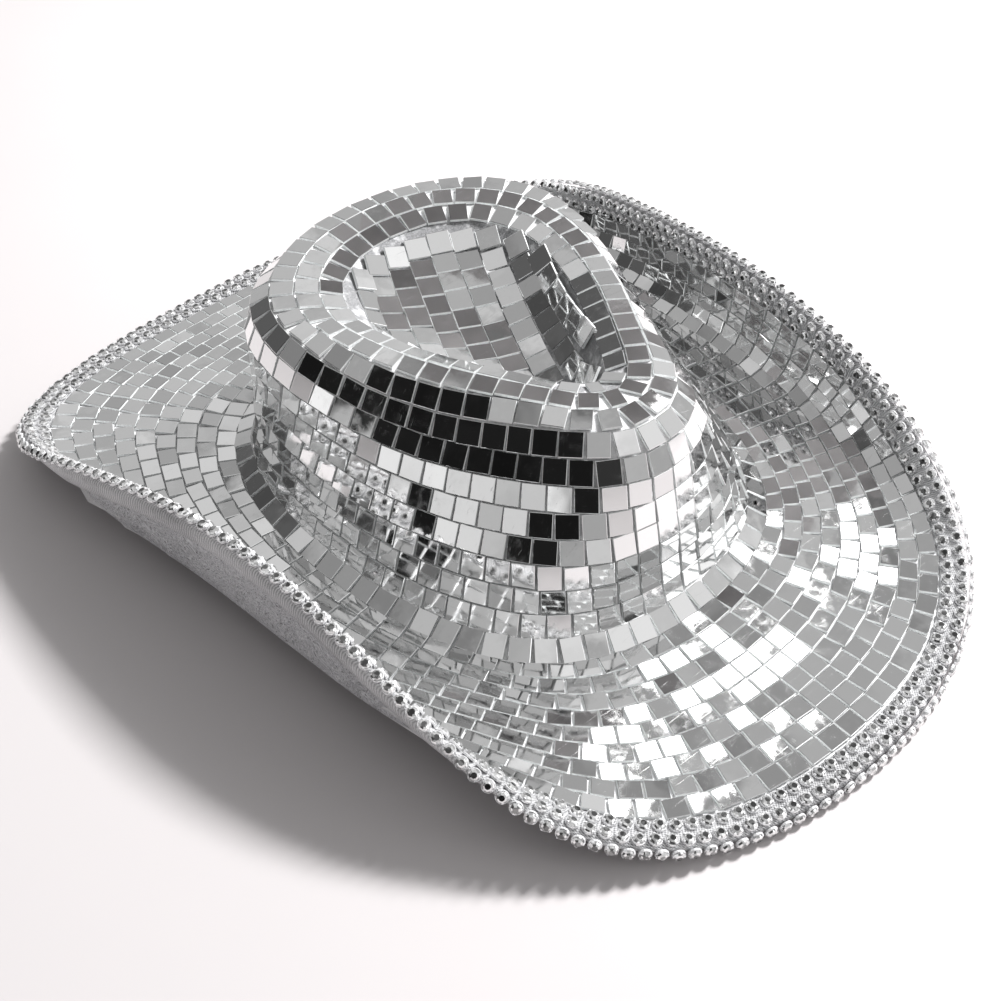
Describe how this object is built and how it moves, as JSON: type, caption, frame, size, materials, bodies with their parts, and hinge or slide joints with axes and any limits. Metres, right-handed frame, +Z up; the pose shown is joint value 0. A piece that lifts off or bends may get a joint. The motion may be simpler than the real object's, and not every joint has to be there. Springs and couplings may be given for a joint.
{
  "type": "mirror tile party hat",
  "caption": "Western style party hat with a dented crown and rolled brim, covered in small mirror tiles, with a rhinestone edge and an open head cavity.",
  "frame": {"origin": "centre of the hat's outline in plan, at the lowest point of the brim's binding", "axes": "+Z up, the front of the hat faces -Y, the wearer's left is +X"},
  "size_m": [0.3106, 0.3997, 0.0932],
  "materials": {
    "mirror_tile": "cut silvered mirror, each tile slightly turned",
    "rhinestone": "faceted clear stone with a foil back",
    "silver_cup": "bright stamped cup",
    "silver_tape": "woven silver binding tape with a stitched edge",
    "stiff_felt": "stiffened pale grey felt",
    "glitter_cloth": "silver cloth with fine glitter",
    "satin_lining": "dark grey satin weave",
    "sweatband_tape": "black grosgrain ribbon",
    "steel_wire": "plain drawn wire"
  },
  "bodies": {
    "root": {"brim_board": "stiff_felt", "crown_shell": "stiff_felt", "brim_cloth": "glitter_cloth", "crown_lining": "satin_lining", "sweatband": "sweatband_tape", "edge_wire": "steel_wire", "edge_binding": "silver_tape", "stones_inner": "rhinestone", "stones_outer": "rhinestone", "stones_edge": "rhinestone", "cups_inner": "silver_cup", "cups_outer": "silver_cup", "cups_edge": "silver_cup", "brim_tiles_1": "mirror_tile", "brim_tiles_2": "mirror_tile", "brim_tiles_3": "mirror_tile", "brim_tiles_4": "mirror_tile", "brim_tiles_5": "mirror_tile", "brim_tiles_6": "mirror_tile", "brim_tiles_7": "mirror_tile", "brim_tiles_8": "mirror_tile", "brim_tiles_9": "mirror_tile", "crown_tiles_1": "mirror_tile", "crown_tiles_2": "mirror_tile", "crown_tiles_3": "mirror_tile", "crown_tiles_4": "mirror_tile", "crown_tiles_5": "mirror_tile", "crown_tiles_6": "mirror_tile", "crown_tiles_7": "mirror_tile", "crown_tiles_8": "mirror_tile", "crown_tiles_9": "mirror_tile", "crown_tiles_10": "mirror_tile", "crown_tiles_11": "mirror_tile", "crown_tiles_12": "mirror_tile", "dent_tiles_1": "mirror_tile", "dent_tiles_2": "mirror_tile", "dent_tiles_3": "mirror_tile", "dent_tiles_4": "mirror_tile", "dent_tiles_5": "mirror_tile", "dent_tiles_6": "mirror_tile", "dent_tiles_7": "mirror_tile", "dent_tiles_8": "mirror_tile", "dent_tiles_9": "mirror_tile"}
  },
  "joints": []
}
